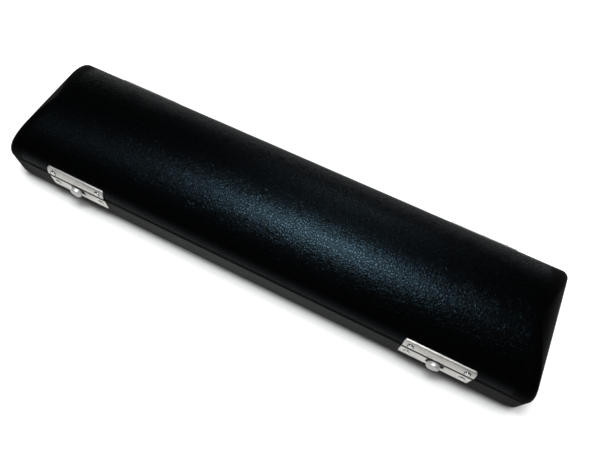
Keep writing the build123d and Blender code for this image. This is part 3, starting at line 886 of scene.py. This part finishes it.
class CASE_OT_lid_leather(bpy.types.Operator):
    """Leatherette of the lid: over the arch and the soft ends, over the rim and up inside"""

    bl_idname = "case.lid_leather"
    bl_label = "Lid leatherette"

    def execute(self, context):
        """Rings follow the lid's form from the ridge to the rim, over it, and back under the arch."""
        shell = context.scene.case_shell
        form = LidForm(shell)
        outer = form.arch_heights(0.0, 22, 52)[::-1]
        outer = outer[outer > shell.rim_round]
        inner = form.arch_heights(shell.skin, 6, 12)
        inner = inner[inner > 1.2 * shell.skin]
        rim = rim_profile(shell)
        height = np.concatenate((outer, [shell.rim_round], rim[:, 1], inner))
        inset = np.concatenate((0 * outer, [0.0], rim[:, 0], 0 * inner + shell.skin))
        pattern = plan_pattern(shell.columns, shell.columns // 5, CORNER_STEPS)
        grid = form.rings(height, inset, pattern)
        seen = len(outer)
        outside = ease((height[:seen] - shell.rim_round) / (4 * MM))[:, None]
        ripple = shell.ripple * (waves(grid[:seen], 24 * MM, 3) - 1) * outside
        normal = grid_normals(grid[: seen + 1])[:seen]
        normal *= np.sign(normal[seen // 2, 0, 1] * grid[seen // 2, 0, 1])
        grid[:seen] += normal * ripple[..., None]
        grid[0, :, 1] = 0.0
        faces = grid_faces(len(grid), len(pattern), close_columns=True)
        new_piece("lid_leather", grid, faces, "lid", "leatherette", ["lid_covering"])
        return {"FINISHED"}


class CASE_OT_tray_plush(bpy.types.Operator):
    """Plush tray in the base: two long channels, a rib with finger scoops and soft lips"""

    bl_idname = "case.tray_plush"
    bl_label = "Tray plush"

    def execute(self, context):
        """Depth below the tray's top is worked out over a grid, then a skirt and a bottom close it."""
        lining = context.scene.case_lining
        form = TrayForm(lining)
        grid_x, grid_y = form.plan()
        grid = np.stack((grid_x, grid_y, TRAY_TOP - form.depth(grid_x, grid_y)), axis=-1)
        inside = ease(form.to_rim(grid_x, grid_y) / (3 * MM))
        grid[..., 2] += lining.swell * 0.6 * waves(grid, 26 * MM, 11) * inside
        rows, columns = grid_x.shape
        index = np.arange(rows * columns).reshape(rows, columns)
        loop = np.concatenate((index[0, :-1], index[:-1, -1], index[-1, :0:-1], index[:0:-1, 0]))
        points = grid.reshape(-1, 3)
        foot = points[loop] * (1, 1, 0) + (0, 0, FOAM_LOW[2])
        middle = foot * (0.5, 0.0, 1.0)
        ring = np.arange(len(loop))
        turned = np.roll(ring, -1)
        first = len(points)
        second = first + len(loop)
        skirt = np.stack((loop, loop[turned], first + turned, first + ring), axis=1)
        bottom = np.stack((first + ring, first + turned, second + turned, second + ring), axis=1)
        faces = np.concatenate((grid_faces(rows, columns)[:, ::-1], skirt, bottom))
        points = np.concatenate((points, foot, middle))
        piece = new_piece("tray_plush", points, faces, "base", "plush", ["tray_lining", "tray_foam"])
        return {"FINISHED"}


class CASE_OT_divider_plush(bpy.types.Operator):
    """Plush block between the head joint's and the foot joint's places"""

    bl_idname = "case.divider_plush"
    bl_label = "Divider plush"

    def execute(self, context):
        """Sections along X are superellipses, full at the top and rounder below. Both ends are drawn in
        by a quarter turn, and rings that shrink to the middle close them."""
        middle = (DIVIDER_LOW + DIVIDER_HIGH) / 2
        half = (DIVIDER_HIGH - DIVIDER_LOW) / 2
        soft = 2.4 * MM      # rounding of both ends
        turn = np.linspace(0, 2 * math.pi, 160, endpoint=False)
        at_sides = 1 / 3.4
        at_top = 1 / 6.0
        below = context.scene.case_lining.channel_round / (3.0 * half[2])
        section_y = signed_power(np.cos(turn), at_sides) * half[1]
        section_z = signed_power(np.sin(turn), np.where(np.sin(turn) > 0, at_top, below)) * half[2]
        angle = np.linspace(0, math.pi / 2, 9)
        ends = 1 - np.cos(angle)
        drawn = np.concatenate((1 - np.sin(angle), np.zeros(6), 1 - np.sin(angle[::-1])))
        along = np.concatenate(
            (
                -half[0] + soft * ends,
                np.linspace(-half[0] + soft, half[0] - soft, 8)[1:-1],
                half[0] - soft * ends[::-1],
            )
        )
        y = section_y[None, :] * (1 - drawn[:, None] * soft / half[1])
        z = section_z[None, :] * (1 - drawn[:, None] * soft / half[2])
        x = np.broadcast_to(along[:, None], y.shape)
        body = np.stack((x, y, z), axis=-1)
        caps = [body[:1] * (1, share, share) for share in (0.0, 0.3, 0.6, 0.85)]
        ends_on = [body[-1:] * (1, share, share) for share in (0.85, 0.6, 0.3, 0.0)]
        grid = np.concatenate(caps + [body] + ends_on) + middle
        faces = grid_faces(len(grid), len(turn), close_columns=True)
        piece = new_piece("divider_plush", grid, faces, "base", "plush", ["channel_divider"])
        return {"FINISHED"}


class CASE_OT_lid_plush(bpy.types.Operator):
    """Padded plush inside the lid, with a rolled edge along the rim"""

    bl_idname = "case.lid_plush"
    bl_label = "Lid plush"

    def execute(self, context):
        """Rings run under the arch from the ridge to the rolled edge, and back against the board."""
        shell, lining = context.scene.case_shell, context.scene.case_lining
        form = LidForm(shell)
        room, lift, apart = 0.25 * MM, 0.7 * MM, 0.4 * MM
        outer_inset = shell.skin * 2 + shell.board + room
        roll = (lining.lid_inset - outer_inset) / 2
        edge = lift + roll
        seen = form.arch_heights(lining.lid_inset, 10, 34)[::-1]
        seen = seen[seen > edge + apart]
        turn = np.linspace(0, math.pi, 12)
        rolled_inset = lining.lid_inset - roll * (1 - np.cos(turn))
        rolled_height = edge - roll * np.sin(turn)
        hidden = form.arch_heights(outer_inset, 6, 10)
        hidden = hidden[hidden > edge + apart]
        height = np.concatenate((seen, rolled_height, hidden))
        inset = np.concatenate((0 * seen + lining.lid_inset, rolled_inset, 0 * hidden + outer_inset))
        pattern = plan_pattern(shell.columns * 3 // 4, shell.columns // 6, CORNER_STEPS)
        grid = form.rings(height, inset, pattern)
        shown = len(seen)
        normal = grid_normals(grid[: shown + 1])[:shown]
        puff = ease((height[:shown] - edge) / (3 * MM))[:, None]
        puff = puff * (0.6 * waves(grid[:shown], 30 * MM, 5) + 0.4 * waves(grid[:shown], 11 * MM, 6))
        grid[:shown] += normal * (lining.swell * puff)[..., None]
        grid[0, :, 1] = 0.0
        faces = grid_faces(len(grid), len(pattern), close_columns=True)
        piece = new_piece("lid_plush", grid, faces, "lid", "plush", ["lid_lining", "lid_foam"])
        return {"FINISHED"}


class CASE_OT_latch_plates(bpy.types.Operator):
    """The nickel plates of both latches, with softened edges"""

    bl_idname = "case.latch_plates"
    bl_label = "Latch plates"

    def execute(self, context):
        for node in both("strike_plate", "lock_plate"):
            softened(node, f"{node}_nickel", context.scene.case_metal.plate_edge)
        return {"FINISHED"}


class CASE_OT_knobs(bpy.types.Operator):
    """The sliding knobs of both latches"""

    bl_idname = "case.knobs"
    bl_label = "Latch knobs"

    def execute(self, context):
        for side in SIDES:
            softened(f"{side}_lock_knob", f"{side}_knob_nickel", context.scene.case_metal.small_edge)
        return {"FINISHED"}


class CASE_OT_lock_insides(bpy.types.Operator):
    """Housings, bolts and springs inside the latches"""

    bl_idname = "case.lock_insides"
    bl_label = "Latch insides"

    def execute(self, context):
        for node in both("lock_housing", "lock_bolt", "lock_spring"):
            refinish(node)
        return {"FINISHED"}


class CASE_OT_hinges(bpy.types.Operator):
    """Leaves and pins of both hinges"""

    bl_idname = "case.hinges"
    bl_label = "Hinges"

    def execute(self, context):
        for node in both("hinge_base_leaf", "hinge_lid_leaf"):
            softened(node, f"{node}_nickel", context.scene.case_metal.small_edge)
        for node in both("hinge_pin"):
            refinish(node)
        return {"FINISHED"}


class CASE_OT_fasteners(bpy.types.Operator):
    """Rivets of the latch plates and screws of the hinges"""

    bl_idname = "case.fasteners"
    bl_label = "Rivets and screws"

    def execute(self, context):
        for node in ("lock_plate_rivets", "strike_plate_rivets", "hinge_base_screws", "hinge_lid_screws"):
            refinish(node)
        return {"FINISHED"}


class CASE_OT_boards(bpy.types.Operator):
    """The wooden shells, and the sheet under the base"""

    bl_idname = "case.boards"
    bl_label = "Wooden shells"

    def execute(self, context):
        for node in ("base_core", "lid_core", "base_bottom_sheet"):
            refinish(node)
        return {"FINISHED"}


class CASE_OT_stage(bpy.types.Operator):
    """White floor, lamps, surroundings and the camera"""

    bl_idname = "case.stage"
    bl_label = "Stage"

    LAMPS = (      # name, power, place, size and turn in degrees; a lamp without a turn is aimed at the case
        ("panel", "lamp_power", (-0.035, 0.01, 0.7), (0.31, 0.11), 10),
        ("side", "side_power", (-0.50, -0.11, 0.7), (0.56, 0.14), 24),
        ("ceiling", "ceiling_power", (-0.05, 0.45, 0.7), (0.30, 0.6), 0),
        ("window", "window_power", (-0.08, 1.3, 0.8), (0.5, 0.3), None),
    )

    def execute(self, context):
        scene = context.scene
        stage = scene.case_stage
        scene.view_settings.view_transform = "Standard"
        self.add_camera(scene, stage)
        self.add_floor(stage)
        for lamp in self.LAMPS:
            self.add_lamp(stage, *lamp)
        self.add_surroundings(scene)
        return {"FINISHED"}

    def add_camera(self, scene, stage):
        """The camera, above the case and a little in front of it."""
        data = bpy.data.cameras.new("camera")
        data.sensor_width = 36.0
        data.lens = stage.lens
        data.clip_start = 0.01
        scene.camera = linked("camera", data)
        scene.camera.location = stage.camera_place
        scene.camera.rotation_euler = stage.camera_turn

    def add_floor(self, stage):
        """A wide disc just under the case, whiter to the eye than it is lit, but with a painted shadow in the
        corners where the case meets it, where ambient occlusion takes away the glow that the camera sees."""
        angle = np.linspace(0, 2 * math.pi, FLOOR_SIDES, endpoint=False)
        rim = np.broadcast_arrays(FLOOR_RADIUS * np.cos(angle), FLOOR_RADIUS * np.sin(angle), -FLOOR_GAP)
        mesh = bpy.data.meshes.new("floor")
        mesh.from_pydata(np.stack(rim, axis=1).tolist(), [], [list(range(FLOOR_SIDES))])
        plain = {"Base Color": (*stage.floor, 1), "Roughness": 0.9, "Specular IOR Level": 0.0}
        finish = Finish("floor", {**plain, "Emission Strength": 1.0})
        rays = finish.add("ShaderNodeLightPath").outputs
        seen = Signal(finish, rays["Is Camera Ray"])
        mirrored = Signal(finish, rays["Is Glossy Ray"]) + Signal(finish, rays["Is Transmission Ray"])
        occlusion = finish.add("ShaderNodeAmbientOcclusion", {"samples": 8}, {"Distance": FLOOR_SHADOW})
        corner = Signal(finish, occlusion.outputs["AO"])
        apart = finish.add("ShaderNodeVectorMath", {"operation": "LENGTH"}, {0: finish.place()})
        far = Signal(finish, apart.outputs["Value"]).ramp(0.1, 0.5)
        # Painted shadow: near the case, ambient occlusion takes away the glow that the camera sees.
        open_floor = corner.ramp(0.42, 0.95)
        glow = open_floor * seen * (stage.floor_glow + 0.5 * far) + mirrored * stage.mirrored_glow
        finish.set("Emission Color", glow)
        mesh.materials.append(finish.owner)
        linked("floor", mesh)

    def add_lamp(self, stage, name, power, place, size, turn):
        """A rectangular panel, which shines straight down unless it is aimed at the case."""
        data = bpy.data.lights.new(name, "AREA")
        data.shape = "RECTANGLE"
        data.size, data.size_y = size
        data.energy = getattr(stage, power)
        data.color = stage.lamp
        lamp = linked(name, data)
        lamp.location = place
        if turn is None:
            lamp.rotation_euler = (-lamp.location).to_track_quat("-Z", "Y").to_euler()
        else:
            lamp.rotation_euler.z = math.radians(turn)

    def add_surroundings(self, scene):
        """White walls near the horizon that fall off to a dark ceiling."""
        world = bpy.data.worlds.new("surroundings")
        scene.world = world
        finish = Finish("surroundings", owner=world)
        direction = finish.add("ShaderNodeTexCoord").outputs["Generated"]
        dim = finish.along("Z", direction).ramp(0.05, 0.35, 0.15, 0.006)
        seen = Signal(finish, finish.add("ShaderNodeLightPath").outputs["Is Camera Ray"])
        strength = dim + seen * (1 - dim)
        finish.fill(finish.tree.nodes["Background"], {"Color": (1.0, 1.0, 1.0, 1.0), "Strength": strength})


PIECE_OPERATORS = (
    CASE_OT_stage,
    CASE_OT_base_leather,
    CASE_OT_lid_leather,
    CASE_OT_tray_plush,
    CASE_OT_divider_plush,
    CASE_OT_lid_plush,
    CASE_OT_latch_plates,
    CASE_OT_knobs,
    CASE_OT_lock_insides,
    CASE_OT_hinges,
    CASE_OT_fasteners,
    CASE_OT_boards,
)


class CASE_PT_panel(bpy.types.Panel):
    """Lists the operators and the settings in the sidebar"""

    bl_label = "Flute case"
    bl_idname = "CASE_PT_panel"
    bl_space_type = "VIEW_3D"
    bl_region_type = "UI"
    bl_category = "Flute case"

    def draw(self, context):
        for operator in PIECE_OPERATORS:
            self.layout.operator(operator.bl_idname)
        for name, group in SETTINGS.items():
            box = self.layout.box()
            for setting in group.__annotations__:
                box.prop(getattr(context.scene, name), setting)


CLASSES = (*SETTINGS.values(), *PIECE_OPERATORS, CASE_PT_panel)


def register():
    """Registers the classes and hangs the settings on the scene."""
    for cls in CLASSES:
        bpy.utils.register_class(cls)
    for name, group in SETTINGS.items():
        setattr(bpy.types.Scene, name, PointerProperty(type=group))


def unregister():
    """Takes the settings and the classes away again."""
    for name in SETTINGS:
        delattr(bpy.types.Scene, name)
    for cls in reversed(CLASSES):
        bpy.utils.unregister_class(cls)


def main():
    """Makes every piece and the stage."""
    register()
    for operator in PIECE_OPERATORS:
        family, name = operator.bl_idname.split(".")
        getattr(getattr(bpy.ops, family), name)()


if __name__ == "__main__":
    main()
